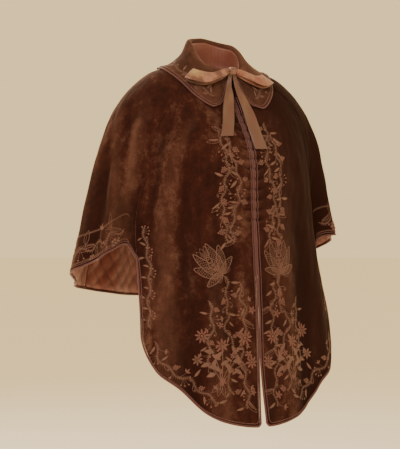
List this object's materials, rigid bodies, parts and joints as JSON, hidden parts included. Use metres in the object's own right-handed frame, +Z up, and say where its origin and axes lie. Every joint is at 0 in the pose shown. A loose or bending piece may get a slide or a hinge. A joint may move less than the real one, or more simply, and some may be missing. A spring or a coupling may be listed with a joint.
{
  "type": "velvet cape with half sleeves and ribbon bow",
  "caption": "Hip-length velvet cape in its worn form: long rounded fronts, half sleeves, turned-down collar, quilted lining, piped edges and a ribbon bow.",
  "frame": {"origin": "on the middle plane, level with the top of the wearer's shoulders, where they carry the cape", "axes": "+Z up, -Y the front of the cape, -X the wearer's right"},
  "size_m": [0.6668, 0.4095, 0.8328],
  "materials": {
    "velvet": "dark red-brown pile velvet",
    "lining": "rose silk, quilted",
    "piping": "rose corded silk",
    "ribbon": "pink satin",
    "thread": "rose-tan silk thread"
  },
  "bodies": {
    "root": {"front_right": "velvet", "front_left": "velvet", "sleeve_right": "velvet", "sleeve_left": "velvet", "back": "velvet", "collar_right": "velvet", "collar_left": "velvet", "lining_front_right": "lining", "lining_front_left": "lining", "lining_sleeve_right": "lining", "lining_sleeve_left": "lining", "lining_back": "lining", "collar_facing": "lining", "piping_right": "piping", "piping_left": "piping", "piping_collar": "piping", "ribbon_knot": "ribbon", "ribbon_loop_right": "ribbon", "ribbon_loop_left": "ribbon", "ribbon_tail_right": "ribbon", "ribbon_tail_left": "ribbon"}
  },
  "joints": []
}
